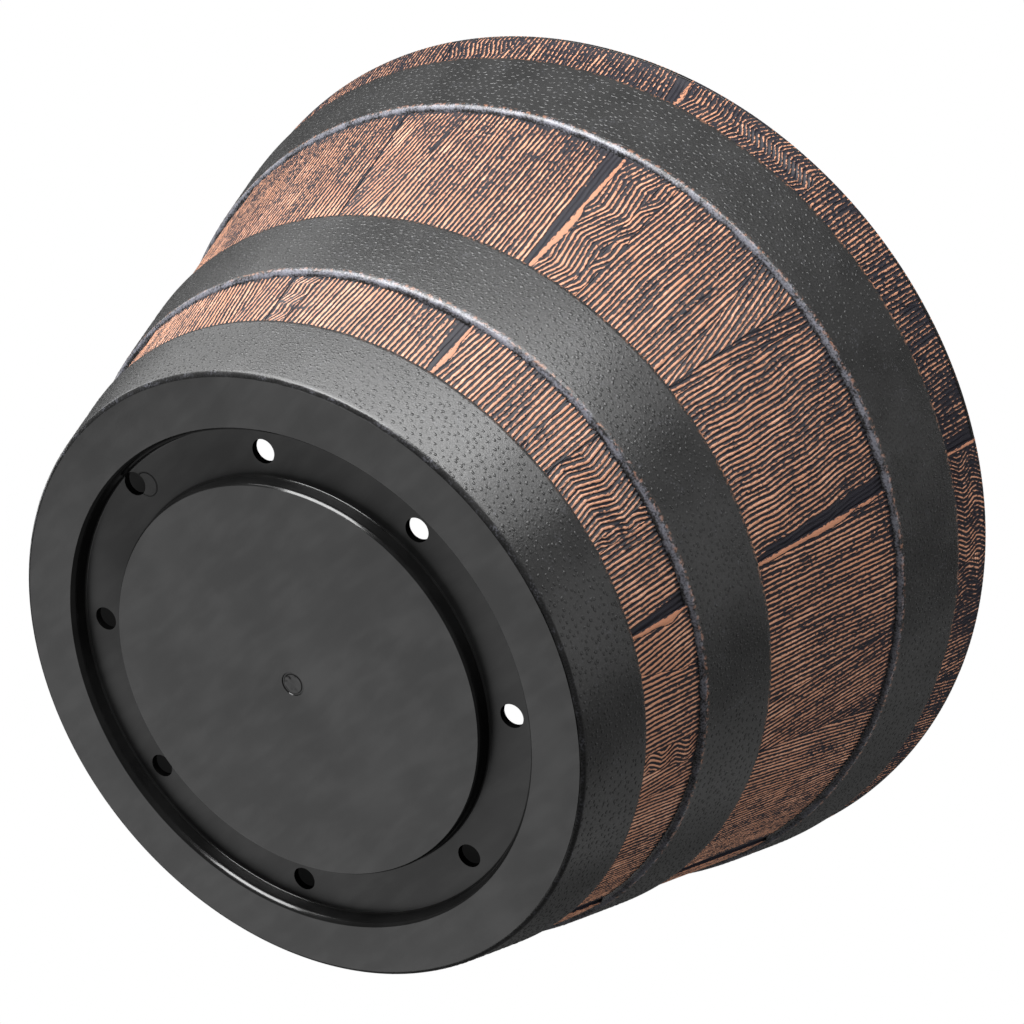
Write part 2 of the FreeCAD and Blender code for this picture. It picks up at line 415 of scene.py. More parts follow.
def hoop_material():
    """Charcoal moulding with a fine pebble, and a pale band along its free lower shoulder that is partly
    frosted wear and partly a painted highlight.
    """
    material, tree, shader = new_material("pebbled_resin")
    frost_and_sheen = attribute(tree, "frost_and_sheen")
    speck = noise(tree, SPECK_SIZE, HOOP_DETAIL)
    streak = noise(tree, STREAK_SIZE, HOOP_DETAIL)
    broken = math_node(tree, "ADD", frost_and_sheen, spread(tree, speck, -SPECK_SHIFT, SPECK_SHIFT))
    broken = math_node(tree, "ADD", broken, spread(tree, streak, -STREAK_SHIFT, STREAK_SHIFT))
    frost_sheen_cover = ramp(tree, broken, *FROST_SHEEN_EDGE, 0.0, FROST_SHEEN_SHARE)
    body = mix(tree, ramp(tree, noise(tree, CHARCOAL_SIZE), *PATCH_EDGE), CHARCOAL, CHARCOAL_LIGHT)
    flecks = ramp(tree, noise(tree, FLECK_SIZE), *FLECK_EDGE)
    copper_flecks = math_node(tree, "MULTIPLY", flecks, attribute(tree, "fleck"))
    body = mix(tree, copper_flecks, body, COPPER_DEEP)
    # The lower shoulder is painted pale: partly frosted wear, partly a painted highlight
    feed(tree, shader.inputs["Base Color"], mix(tree, frost_sheen_cover, body, FROST_AND_SHEEN))
    feed(tree, shader.inputs["Roughness"], spread(tree, speck, *HOOP_ROUGHNESS))
    feed(tree, shader.inputs["Normal"], bump(tree, speck, SPECK_RELIEF, SPECK_STRENGTH))
    return material


def smooth_material():
    """Satin black moulding, cloudy where it was handled."""
    material, tree, shader = new_material("smooth_resin")
    cloud = spread(tree, noise(tree, CLOUD_SIZE, SMOOTH_DETAIL), 0.0, CLOUD_SHARE)
    smudge = noise(tree, SMUDGE_SIZE, SMOOTH_DETAIL, SMUDGE_STRETCH)
    shade = math_node(tree, "ADD", cloud, ramp(tree, smudge, *SMUDGE_EDGE, 0.0, SMUDGE_SHARE))
    solid = math_node(tree, "SUBTRACT", 1.0, attribute(tree, "bore"))
    # The drilled faces of the holes are painted near-black and without shine, as painted shade
    body = mix(tree, solid, BORE_SHADE_BLACK, mix(tree, shade, SATIN_BLACK, SATIN_GREY))
    gloss = math_node(tree, "MULTIPLY", solid, ramp(tree, shade, 0.0, 1.0, *SMOOTH_GLOSS))
    dullness = ramp(tree, attribute(tree, "matte"), 0.0, 1.0, SATIN_ROUGHNESS, MATTE_ROUGHNESS)
    grit = math_node(tree, "MULTIPLY", noise(tree, GRIT_SIZE), GRIT_SHARE)
    relief = math_node(tree, "SUBTRACT", grit, circle_line(tree, GUIDE_MARK, GUIDE_RADIUS, GUIDE_WIDTH))
    feed(tree, shader.inputs["Base Color"], body)
    feed(tree, shader.inputs["Roughness"], dullness)
    feed(tree, shader.inputs["Specular IOR Level"], gloss)
    feed(tree, shader.inputs["Normal"], bump(tree, relief, GUIDE_DEPTH, GUIDE_STRENGTH))
    return material


def inner_material():
    """Dull black of the moulding's inner face."""
    material, tree, shader = new_material("dull_inner_resin")
    shade = spread(tree, noise(tree, INNER_SIZE, INNER_DETAIL))
    feed(tree, shader.inputs["Base Color"], mix(tree, shade, SATIN_BLACK, SATIN_GREY))
    feed(tree, shader.inputs["Roughness"], INNER_ROUGHNESS)
    feed(tree, shader.inputs["Specular IOR Level"], INNER_GLOSS)
    return material


WOOD = wood_material()
HOOP = hoop_material()
SMOOTH = smooth_material()
INNER = inner_material()


# Staves

# Bearing of each seam at the top of the wide band and at the bottom of the narrow one. The staves between
# them stand proud and sunk by turns.
SEAMS = (
    (0.6, -0.8), (30.9, 29.0), (59.2, 60.4), (91.0, 89.5), (119.1, 121.0), (150.4, 149.0),
    (179.3, 180.6), (209.0, 212.8), (242.1, 244.2), (271.1, 268.2), (298.0, 297.6), (330.0, 327.5),
)
STAVE_KINDS = ("proud", "sunk")
RIDGE_PITCH = 2.06
RIDGE_HEIGHT = 0.45
ROW_STEP = 2.0
LEAST_ROWS = 3
END_ROW = 0.3
TILE_DEPTH = 2.2
TUCK = 0.8
RIM_CLEARANCE = 0.1
STAVE_SHARP_ANGLE = 50
# A sunk stave starts almost level with one neighbour and ends deeper beside the next
SINK_LOW_SIDE = 0.25
SINK_HIGH_SIDE = 1.0

# One flat valley and the ridge after it: where the columns stand, as shares of the pitch, and how high
RIDGE_COLUMNS = ((0.0, 0.0), (0.34, 0.05), (0.48, 0.8), (0.68, 1.0), (0.88, 0.8))
RIDGE_JITTER = 0.13
PANEL_EDGE = 0.35
GRAIN_SEED = 7

# How far the ridges wander and tremble, and the width and length of each bend
WANDER = 0.9
WANDER_CELL = (26.0, 34.0)
TREMBLE = 0.22
TREMBLE_CELL = (2.0, 4.0)

# Height of the crests: its mean, how far and over what length it varies, and the least
CREST_MEAN = 0.93
CREST_SPREAD = 0.14
CREST_LENGTH = 15.0
CREST_LEAST = 0.6

# Bands of bare staves between the hoops, the last one up to the rounded edge of the rim
RIM_EDGE = 0.6
BANDS = {
    "narrow": (BOTTOM_HOOP[1], MIDDLE_HOOP[0]),
    "wide": (MIDDLE_HOOP[1], TOP_HOOP[0]),
    "rim": (TOP_HOOP[1], RIM[1] - RIM_EDGE),
}

# Grain panels of the staves that show most: the share of the stave at which a panel ends, at the band's top
# and bottom, the lean of its ridges in degrees, and the width and length of their zigzag
PANELS = {
    ("wide", 7): ((0.3, 0.16, 3.0, 0.0, 20.0), (1.0, 1.0, 0.0, 0.0, 20.0)),
    ("wide", 8): ((0.2, 0.22, 0.0, 2.4, 36.0), (0.27, 0.29, 7.0, 1.2, 18.0), (0.76, 0.97, 0.0, 0.0, 20.0),
                  (1.0, 1.0, -9.0, 0.0, 20.0)),
    ("wide", 9): ((0.12, 0.05, 5.0, 0.0, 20.0), (1.0, 1.0, 0.0, 0.4, 24.0)),
    ("wide", 10): ((0.6, 0.72, 0.0, 0.0, 20.0), (1.0, 1.0, -6.0, 0.0, 20.0)),
    ("narrow", 7): ((0.16, 0.1, 12.0, 1.2, 12.0), (1.0, 1.0, 0.0, 0.0, 20.0)),
    ("narrow", 9): ((0.42, 0.46, 0.0, 1.5, 22.0), (0.5, 0.52, 10.0, 0.8, 10.0), (1.0, 1.0, 0.0, 0.0, 20.0)),
    ("narrow", 10): ((0.3, 0.2, -12.0, 0.0, 20.0), (0.68, 0.7, 0.0, 0.0, 20.0), (0.86, 0.82, 0.0, 2.0, 13.0),
                     (1.0, 1.0, -4.0, 0.0, 20.0)),
}

# Limits of the panels on the other staves, which are drawn at random
PANEL_COUNTS = (1, 4)
PANEL_ENDS = (0.15, 0.9)
PANEL_SLANT = 0.08
PANEL_LEAN = 7
ZIGZAG_ODDS = 0.25
ZIGZAG_WIDTHS = (0.8, 2.2)
ZIGZAG_LENGTHS = (12, 24)


def random_panels(random):
    """Grain panels of a stave that nothing is known about."""
    ends = np.sort(random.uniform(*PANEL_ENDS, random.integers(*PANEL_COUNTS)))
    panels = []
    for end in [*ends, 1.0]:
        slant = 0.0 if end == 1.0 else random.uniform(-PANEL_SLANT, PANEL_SLANT)
        zigzag = random.uniform(*ZIGZAG_WIDTHS) if random.random() < ZIGZAG_ODDS else 0.0
        lean = random.uniform(-PANEL_LEAN, PANEL_LEAN)
        panels.append((end + slant, end - slant, lean, zigzag, random.uniform(*ZIGZAG_LENGTHS)))
    return panels


def share_up(rows):
    """How far up a band each row stands, from 0 at the first to 1 at the last."""
    return (rows - rows[0]) / (rows[-1] - rows[0])


def seam_bearing(index, height):
    """Bearing in radians of a seam's line at a height, counting on past a full turn."""
    head, foot = SEAMS[index % len(SEAMS)]
    share = (height - BOTTOM_HOOP[1]) / (TOP_HOOP[0] - BOTTOM_HOOP[1])
    return np.radians(foot + (head - foot) * share + FULL_TURN * (index // len(SEAMS)))


def ridge_columns(random, rows, panel, low, high):
    """Columns of one panel between two edge lines: distance along the wall and height of the crest."""
    _, _, lean, zigzag, zigzag_length = panel
    middle = (rows[0] + rows[-1]) / 2
    phase = random.uniform(0, 1)
    turn = (rows - middle) / zigzag_length + phase
    drift = math.tan(math.radians(lean)) * (rows - middle)
    drift = drift + zigzag * (np.abs(turn % 1 * 2 - 1) * 2 - 1)
    first = math.floor((low - drift).min() / RIDGE_PITCH) - 1
    last = math.ceil((high - drift).max() / RIDGE_PITCH) + 1
    ridges = np.arange(first, last + 1)
    starts = (ridges + random.uniform(-RIDGE_JITTER, RIDGE_JITTER, len(ridges))) * RIDGE_PITCH
    widths = np.diff(np.append(starts, starts[-1] + RIDGE_PITCH))
    shares = [share for share, _ in RIDGE_COLUMNS]
    line = (starts[:, None] + widths[:, None] * shares).reshape(-1)
    crest = np.tile([height for _, height in RIDGE_COLUMNS], len(ridges))
    across, along = np.meshgrid(line, rows)
    wander = WANDER * soft_noise(random, across, along, *WANDER_CELL)
    wander = wander + TREMBLE * soft_noise(random, across, along, *TREMBLE_CELL)
    place = across + drift[:, None] + wander
    strength = CREST_MEAN + CREST_SPREAD * soft_noise(random, across, along, RIDGE_PITCH, CREST_LENGTH)
    rise = crest * np.clip(strength, CREST_LEAST, 1.0)
    outside = (place <= low[:, None]) | (place >= high[:, None])
    place = np.clip(place, low[:, None], high[:, None])
    return place, np.where(outside, PANEL_EDGE, rise)


# Lip of a proud stave: where its columns stand, as shares of its width, and how high
LIP_COLUMNS = ((0.0, 0.6), (0.3, 1.0), (0.7, 1.0), (1.0, PANEL_EDGE))
LIP_WIDTH = 2.4
LIP_END_SHARE = 0.6
LIP_SWELL = 0.5
LIP_UNEVENNESS = 0.5
LIP_CELL = (1.0, 7.0)

# Paint: how strongly it varies, and the width and length of each kind of patch
BLOTCH = 0.09
BLOTCH_CELL = (16.0, 26.0)
MOTTLE = 0.06
MOTTLE_CELL = (5.0, 5.0)
SMEAR = 0.3
SMEAR_CELL = (5.0, 12.0)
SMEAR_START = 0.75
SMEAR_FADE = 0.15

# Edges beside the hoops, with less paint and so darker: just above the hoop below, and, as painted shade,
# under the shoulder of the hoop above: how much paint each takes away, and how far it reaches
LOWER_DARKENING = 0.3
LOWER_REACH = 1.6
UPPER_PAINTED_SHADE = 0.5
UPPER_REACH = 2.2
UNPAINTED = -1.0

# Towards the rim the wall has less paint and so is darker, as painted shade where less light reaches, and
# over its last stretch the relief levels out
TOP_PAINTED_SHADE = 0.22
RIM_LEVELLING = 6.0

# Dark wedges along a sunk stave's sides: the width over which they fade, and how many widths away they end
WEDGE_TOP = 6.0
WEDGE_FOOT = 1.6
WEDGE_END = 1.25
WEDGE_LOW_SIDE = 0.6
WEDGE_LOW_END = 1.2
WEDGE_BARENESS = 1.1
WEDGE_FLATTENING = 0.4


def lip_columns(random, rows, edge):
    """Columns of the smooth lip along a proud stave's edge, which is widest half-way up."""
    width = LIP_WIDTH * (LIP_END_SHARE + LIP_SWELL * np.sin(math.pi * share_up(rows)))
    width = width * (1 + LIP_UNEVENNESS * soft_noise(random, np.zeros_like(rows), rows, *LIP_CELL))
    place = np.stack([edge + width * part for part, _ in LIP_COLUMNS], 1)
    rise = np.stack([np.full_like(rows, height) for _, height in LIP_COLUMNS], 1)
    return place, rise


def paint_levels(random, rows, place, rise, low, high, sunk, hoop_above):
    """How much more or less paint than usual each point has, and its crest, lowered in dark corners."""
    height = np.broadcast_to(rows[:, None], place.shape)
    # Painted shade: less paint, so darker, from the middle hoop up to the rim
    top_shade = TOP_PAINTED_SHADE * np.clip((rows - MIDDLE_HOOP[1]) / (RIM[0] - MIDDLE_HOOP[1]), 0, 1)
    paint = BLOTCH * soft_noise(random, place, height, *BLOTCH_CELL)
    paint = paint + MOTTLE * soft_noise(random, place, height, *MOTTLE_CELL)
    smear = soft_noise(random, place, height, *SMEAR_CELL)
    paint = paint + SMEAR * np.clip((smear - SMEAR_START) / SMEAR_FADE, 0, 1) - top_shade[:, None]
    # Less paint, so darker, just above the hoop below
    paint = paint - LOWER_DARKENING * np.clip(1 - (height - rows[0]) / LOWER_REACH, 0, 1)
    # Painted shade under the shoulder of the hoop above: less paint, so darker
    if hoop_above:
        paint = paint - UPPER_PAINTED_SHADE * np.clip(1 - (rows[-1] - height) / UPPER_REACH, 0, 1)
    if sunk:
        wedge = WEDGE_FOOT + (WEDGE_TOP - WEDGE_FOOT) * share_up(rows)
        corner = np.clip(WEDGE_END - (high[:, None] - place) / wedge[:, None], 0, 1)
        low_corner = np.clip(WEDGE_LOW_END - (place - low[:, None]) / WEDGE_LOW_SIDE, 0, 1)
        corner = np.maximum(corner, low_corner)
        paint = paint - WEDGE_BARENESS * corner
        rise = rise * (1 - WEDGE_FLATTENING * corner)
    return paint, rise


def stave_tile(random, band, index):
    """Closed tile of one stave between two hoops: its points, faces and what the paint depends on."""
    bottom, top = BANDS[band]
    top_tuck = 0.0 if band == "rim" else TUCK
    count = max(LEAST_ROWS, round((top - bottom) / ROW_STEP))
    inner_rows = np.linspace(bottom + END_ROW, top - END_ROW, count)
    rows = np.concatenate([[bottom - TUCK], inner_rows, [top + top_tuck]])
    sunk = STAVE_KINDS[index % len(STAVE_KINDS)] == "sunk"
    face_radius = np.minimum(wall_radius(rows), RIM_RADIUS - RIM_CLEARANCE)
    anchor = (seam_bearing(index, rows).mean() + seam_bearing(index + 1, rows).mean()) / 2
    low = face_radius * (seam_bearing(index, rows) - anchor)
    high = face_radius * (seam_bearing(index + 1, rows) - anchor)
    start = low
    columns = []
    if not sunk:
        columns.append(lip_columns(random, rows, low))
        start = columns[0][0][:, -1]
    share = share_up(rows)
    edge = start
    for panel in PANELS.get((band, index)) or random_panels(random):
        reached = panel[1] + (panel[0] - panel[1]) * share
        next_edge = np.maximum(edge, start + (high - start) * reached)
        columns.append(ridge_columns(random, rows, panel, edge, next_edge))
        edge = next_edge
    place = np.concatenate([part for part, _ in columns], 1)
    rise = np.concatenate([part for _, part in columns], 1)
    lip = np.where(place < start[:, None], 1.0, 0.0)
    paint, rise = paint_levels(random, rows, place, rise, low, high, sunk, band != "rim")
    across = (place - low[:, None]) / (high - low)[:, None]
    sink = (SINK_LOW_SIDE + (SINK_HIGH_SIDE - SINK_LOW_SIDE) * across) if sunk else 0 * across
    levelled = np.clip((rows - RIM[1] + RIM_LEVELLING) / RIM_LEVELLING, 0, 1)[:, None]
    relief = rise + (PANEL_EDGE - rise) * levelled
    points, faces = close_tile(rows, place, relief, sink * (1 - levelled), face_radius, anchor)
    hidden = len(points) - place.size
    attributes = {
        "crest": np.append(rise, np.zeros(hidden)),
        "paint": np.append(paint, np.full(hidden, UNPAINTED)),
        "lip": np.append(lip, np.zeros(hidden)),
    }
    return points, faces, attributes


def close_tile(rows, place, rise, sink, face_radius, anchor):
    """Points and faces of a tile: its outer grid, then its ends, sides and back."""
    height, width = place.shape
    bearing = anchor + place / face_radius[:, None]
    radius = face_radius[:, None] - sink - RIDGE_HEIGHT * (1 - rise)
    outer = polar(radius, bearing, np.broadcast_to(rows[:, None], place.shape))
    back = [polar(face_radius[row] - TILE_DEPTH, bearing[row], np.full(width, rows[row])) for row in (0, -1)]
    points = np.concatenate([outer.reshape(-1, 3), *back])
    grid = np.arange(height * width).reshape(height, width)
    lower_back = height * width + np.arange(width)
    upper_back = lower_back + width
    strips = [
        *zip(grid[:-1], grid[1:]),
        (lower_back, grid[0]),
        (grid[-1], upper_back),
        (upper_back, lower_back),
    ]
    faces = []
    for below, above in strips:
        faces += np.stack([below[:-1], below[1:], above[1:], above[:-1]], 1).tolist()
    faces.append([*grid[:, 0], upper_back[0], lower_back[0]])
    faces.append([lower_back[-1], upper_back[-1], *grid[::-1, -1]])
    return points, faces


def make_staves(band, kind):
    """All proud or all sunk staves of one band."""
    tiles, faces = [], []
    first = 0
    for index in range(STAVE_KINDS.index(kind), len(SEAMS), len(STAVE_KINDS)):
        random = np.random.default_rng([GRAIN_SEED, len(band), index])
        tile = stave_tile(random, band, index)
        faces += [[first + corner for corner in face] for face in tile[1]]
        first += len(tile[0])
        tiles.append(tile)
    points = np.concatenate([tile[0] for tile in tiles])
    attributes = {name: np.concatenate([tile[2][name] for tile in tiles]) for name in tiles[0][2]}
    piece = make_piece(f"{kind}_staves_{band}", points, faces, WOOD, attributes, merge=True)
    shade_smooth(piece, STAVE_SHARP_ANGLE)
    place_piece(piece, "stave_wall")


# Wall behind the staves

WALL_SEGMENTS = 180
CORE_SETBACK = 2.0
CORE_ROWS = 12
CORE_SHARP_ANGLE = 40


def make_wall_core():
    """Plain shell that carries the staves and hoops and shows inside the mouth."""
    levels = np.linspace(BOTTOM_HOOP[0], RIM[0], CORE_ROWS)
    outside = [(wall_radius(level) - CORE_SETBACK, level) for level in levels]
    inside = [(wall_radius(level) - WALL_THICKNESS, level) for level in levels[::-1]]
    points, faces = revolve(outside + inside, WALL_SEGMENTS, closed=True)
    piece = make_piece("wall_shell", points, faces, INNER)
    shade_smooth(piece, CORE_SHARP_ANGLE)
    place_piece(piece, "stave_wall")


# Hoops

HOOP_SEGMENTS = 360
HOOP_ROOT = 2.4
HOOP_SHARP_ANGLE = 50
SHOULDER_RUN = 1.5

# The bottom hoop runs down over the foot's side to this height, with a smaller shoulder and less of the pale
# frost and painted highlight
FOOT_EDGE = 0.5
FOOT_LIP = 1.1
FOOT_FROST_SHEEN = 0.3

# Lower shoulder: height as a share of its run, proudness as a share of the hoop's, pale frost with its
# painted highlight, and flecks
ROOT_SHARE = 0.1
LOWER_SHOULDER = (
    (0.0, ROOT_SHARE, 0.6, 0.0),
    (0.2, 0.5, 0.95, 0.0),
    (0.5, 0.8, 0.8, 0.1),
    (0.8, 0.95, 0.6, 0.4),
    (1.2, 1.0, 0.4, 0.5),
)
# Face: where it starts, as a share of the shoulder's run, where it ends below the top, and its rows
FACE_START = 2
FACE_MARGIN = 1.6
FACE_ROWS = 8
# Upper edge: depth below the top, proudness as a share of the hoop's, and flecks
UPPER_EDGE = ((0.5, 1.0, 0.35), (0.12, 0.85, 0.8), (0.0, 0.55, 0.8))

# Pebbles: where they start, as a share of the shoulder's run, where they end below the top, and how they lie
PEBBLE_START = 1.6
PEBBLE_MARGIN = 1.8
PEBBLE_SPACING = 2.9
PEBBLE_ROW_SHARE = 0.87
PEBBLE_SIDESTEP = 0.36
PEBBLE_UPSTEP = 0.32
PEBBLE_TURN = 0.45
PEBBLE_SIZES = (0.7, 1.15)
PEBBLE_LENGTH = 1.9
PEBBLE_WIDTH = 1.3
PEBBLE_HEIGHT = 0.11
PEBBLE_LEAN = 0.14
PEBBLE_SIDES = 6
PEBBLE_ROOT = 0.03
PEBBLE_SEED = 19
# Rings of a pebble from its foot up: share of its outline, rise, and share of its lean
PEBBLE_RINGS = ((1.0, -PEBBLE_ROOT, 0.0), (0.8, 0.6 * PEBBLE_HEIGHT, 0.5), (0.4, PEBBLE_HEIGHT, 1.0))

# Uneven edges: how far they stray, how near the edge, and over how many degrees below and above
EDGE_SEED = 23
EDGE_UNEVENNESS = 0.22
EDGE_REACH = 0.4
LOWER_EDGE_STEP = 1.3
UPPER_EDGE_STEP = 1.6


def hoop_profile(bottom, top, shoulder, edge_marks_and_sheen, flecking):
    """Half-section of a hoop: each point's radius, height, pale frost with its painted highlight, and
    flecks.
    """
    def point(level, proud, frost_and_sheen=0.0, fleck=0.0):
        return (wall_radius(level) + proud, level, frost_and_sheen * edge_marks_and_sheen, fleck)

    section = [point(bottom, -HOOP_ROOT)]
    for rise, share, frost_and_sheen, fleck in LOWER_SHOULDER:
        section.append(point(bottom + rise * shoulder, share * HOOP_PROUD, frost_and_sheen, fleck * flecking))
    for level in np.linspace(bottom + FACE_START * shoulder, top - FACE_MARGIN, FACE_ROWS):
        section.append(point(level, HOOP_PROUD))
    for depth, share, fleck in UPPER_EDGE:
        section.append(point(top - depth, share * HOOP_PROUD, 0.0, fleck * edge_marks_and_sheen))
    section.append(point(top, -HOOP_ROOT))
    return np.array(section)


def roughen_edges(points, bottom, top):
    """Uneven edges of a hoop, as the moulding and the paint leave them."""
    random = np.random.default_rng([EDGE_SEED, int(top)])
    bearing = np.degrees(np.arctan2(points[:, 1], points[:, 0])) % FULL_TURN
    for edge, step in ((bottom, LOWER_EDGE_STEP), (top, UPPER_EDGE_STEP)):
        uneven = EDGE_UNEVENNESS * soft_noise(random, bearing, np.zeros_like(bearing), step, 1.0)
        points[:, 2] += np.where(np.abs(points[:, 2] - edge) < EDGE_REACH, uneven, 0.0)


def pebble_places(random, bottom, top):
    """Bearing in radians and height of each raised pebble, spread evenly but not in rows."""
    bearings, levels = [], []
    for level in np.arange(bottom, top, PEBBLE_SPACING * PEBBLE_ROW_SHARE):
        count = int(2 * math.pi * wall_radius(level) / PEBBLE_SPACING)
        sidestep = random.uniform(-PEBBLE_SIDESTEP, PEBBLE_SIDESTEP, count)
        bearings.append((np.arange(count) + sidestep + random.uniform()) * 2 * math.pi / count)
        levels.append(level + PEBBLE_SPACING * random.uniform(-PEBBLE_UPSTEP, PEBBLE_UPSTEP, count))
    bearings, levels = np.concatenate(bearings), np.concatenate(levels)
    inside = (levels > bottom) & (levels < top)
    return bearings[inside], levels[inside]


def pebbles(random, bottom, top):
    """Points and faces of the raised pebbles on a hoop's face, each a small closed dome."""
    bearing, level = pebble_places(random, bottom, top)
    count = len(bearing)
    radius = wall_radius(level) + HOOP_PROUD
    origin = polar(radius, bearing, level)
    along = np.stack([-np.sin(bearing), np.cos(bearing), np.zeros(count)], -1)
    up = polar(math.sin(WALL_SLOPE), bearing, np.full(count, math.cos(WALL_SLOPE)))
    out = np.cross(along, up)
    turn = random.normal(0, PEBBLE_TURN, count)
    size = random.uniform(*PEBBLE_SIZES, count)
    sides = np.arange(PEBBLE_SIDES) * (2 * math.pi / PEBBLE_SIDES)
    points = []
    for share, rise, lean in PEBBLE_RINGS:
        for side in sides:
            long_way = size * share * PEBBLE_LENGTH / 2 * math.cos(side)
            short_way = size * (share * PEBBLE_WIDTH / 2 * math.sin(side) - lean * PEBBLE_LEAN)
            across = long_way * np.cos(turn) - short_way * np.sin(turn)
            upward = long_way * np.sin(turn) + short_way * np.cos(turn)
            foot = origin + across[:, None] * along + upward[:, None] * up
            points.append(foot + (size * rise)[:, None] * out)
    points = np.stack(points, 1).reshape(-1, 3)
    last_ring = len(PEBBLE_RINGS) - 1
    underside = list(range(PEBBLE_SIDES))[::-1]
    crown = [last_ring * PEBBLE_SIDES + side for side in range(PEBBLE_SIDES)]
    template = [underside, crown]
    for ring in range(last_ring):
        for side in range(PEBBLE_SIDES):
            after = (side + 1) % PEBBLE_SIDES
            low, high = ring * PEBBLE_SIDES, (ring + 1) * PEBBLE_SIDES
            template.append([low + side, low + after, high + after, high + side])
    stride = len(PEBBLE_RINGS) * PEBBLE_SIDES
    faces = [[pebble * stride + corner for corner in face] for pebble in range(count) for face in template]
    return points, faces


def make_hoop(node, span, shoulder, edge_marks_and_sheen, flecking):
    """Hoop with its shoulders, the pale frost and painted highlight on the lower one, and its pebbles."""
    bottom, top = span
    random = np.random.default_rng([PEBBLE_SEED, int(bottom)])
    profile = hoop_profile(bottom, top, shoulder, edge_marks_and_sheen, flecking)
    points, faces = revolve(profile[:, :2], HOOP_SEGMENTS, closed=True)
    roughen_edges(points, bottom, top)
    domes, dome_faces = pebbles(random, bottom + PEBBLE_START * shoulder, top - PEBBLE_MARGIN)
    faces += [[len(points) + corner for corner in face] for face in dome_faces]
    plain = np.zeros(len(domes))
    attributes = {
        "frost_and_sheen": np.concatenate([np.tile(profile[:, 2], HOOP_SEGMENTS), plain]),
        "fleck": np.concatenate([np.tile(profile[:, 3], HOOP_SEGMENTS), plain]),
    }
    piece = make_piece(f"{node}_pebbled", np.concatenate([points, domes]), faces, HOOP, attributes)
    shade_smooth(piece, HOOP_SHARP_ANGLE)
    place_piece(piece, node)


# Base

BASE_SEGMENTS = 192
BASE_THICKNESS = BOTTOM_HOOP[0]
GROOVE_DEPTH = GROOVE_TOP - BASE_THICKNESS
GROOVE_DRAFT = 2.2
GROOVE_ROUNDING = 1.0
MOUTH_SLOPE = 1.6
MOUTH_ROUNDING = 4.5
DISC_DRAFT = 0.3
DISC_RECESS = 0.6
DISC_SLOPE = 0.7
DISC_ROUNDING = 3.2

# Gate mark in the middle of the disc, with the trimmed nub inside it
GATE_RADIUS = 5.0
GATE_DEPTH = 0.4
GATE_DRAFT = 0.2
GATE_ROUNDING = 0.15
GATE_FLOOR_ROUNDING = 0.1
NUB_RADIUS = 4.0
NUB_FACE = 0.1 * GATE_DEPTH
NUB_EDGE = 0.3 * GATE_DEPTH
NUB_DRAFT = 0.3
NUB_RINGS = 6
NUB_ROUGHNESS = 0.14
NUB_CELL = 1.5
NUB_MARGIN = 0.2
NUB_SEED = 5

# A hole's side is upright and clear of the disc's wall, and the groove's floor lies at one height
DRAIN_SIDES = 48
UPRIGHT_LIMIT = 0.1
DISC_WALL_MARGIN = 2
FLOOR_MATCH = 0.05

ARC_STEPS = 6
BASE_SHARP_ANGLE = 35


def base_profile():
    """Half-section of the base from the axis, along the underside, and back along the floor."""
    floor = DISC_RECESS + BASE_THICKNESS
    foot_radius = WALL_FOOT_RADIUS + ROOT_SHARE * HOOP_PROUD
    nub = [(NUB_RADIUS * ring / NUB_RINGS, DISC_RECESS + NUB_FACE, 0) for ring in range(NUB_RINGS)]
    corners = nub + [
        (NUB_RADIUS, DISC_RECESS + NUB_EDGE, GATE_ROUNDING),
        (NUB_RADIUS + NUB_DRAFT, DISC_RECESS + GATE_DEPTH, GATE_FLOOR_ROUNDING),
        (GATE_RADIUS - GATE_DRAFT, DISC_RECESS + GATE_DEPTH, GATE_FLOOR_ROUNDING),
        (GATE_RADIUS, DISC_RECESS, GATE_ROUNDING),
        (DISC_RADIUS - DISC_SLOPE, DISC_RECESS, 0),
        (DISC_RADIUS + DISC_DRAFT, DISC_RECESS + DISC_SLOPE + DISC_DRAFT, DISC_ROUNDING),
        (DISC_RADIUS + 2 * DISC_DRAFT, GROOVE_DEPTH, GROOVE_ROUNDING),
        (GROOVE_MOUTH_RADIUS - GROOVE_DRAFT, GROOVE_DEPTH, GROOVE_ROUNDING),
        (GROOVE_MOUTH_RADIUS - MOUTH_SLOPE, MOUTH_SLOPE, MOUTH_ROUNDING),
        (GROOVE_MOUTH_RADIUS, 0.0, 0),
        (foot_radius, 0.0, 0),
        (foot_radius, BASE_THICKNESS, 0),
        (GROOVE_MOUTH_RADIUS + BASE_THICKNESS, BASE_THICKNESS, GROOVE_ROUNDING),
        (GROOVE_MOUTH_RADIUS - GROOVE_DRAFT + BASE_THICKNESS, GROOVE_TOP, GROOVE_ROUNDING),
        (DISC_RADIUS + DISC_DRAFT - BASE_THICKNESS, GROOVE_TOP, GROOVE_ROUNDING),
        (DISC_RADIUS - BASE_THICKNESS, floor, GROOVE_ROUNDING),
        (0.0, floor, 0),
    ]
    return rounded(corners, ARC_STEPS)


def roughen_nub(points):
    """Uneven face of the trimmed gate in the middle of the disc."""
    random = np.random.default_rng(NUB_SEED)
    distance = np.hypot(points[:, 0], points[:, 1])
    uneven = NUB_ROUGHNESS * soft_noise(random, points[:, 0], points[:, 1], NUB_CELL, NUB_CELL)
    torn = (distance <= NUB_RADIUS - NUB_MARGIN) & (points[:, 2] < BASE_THICKNESS)
    points[:, 2] += np.where(torn, uneven, 0.0)


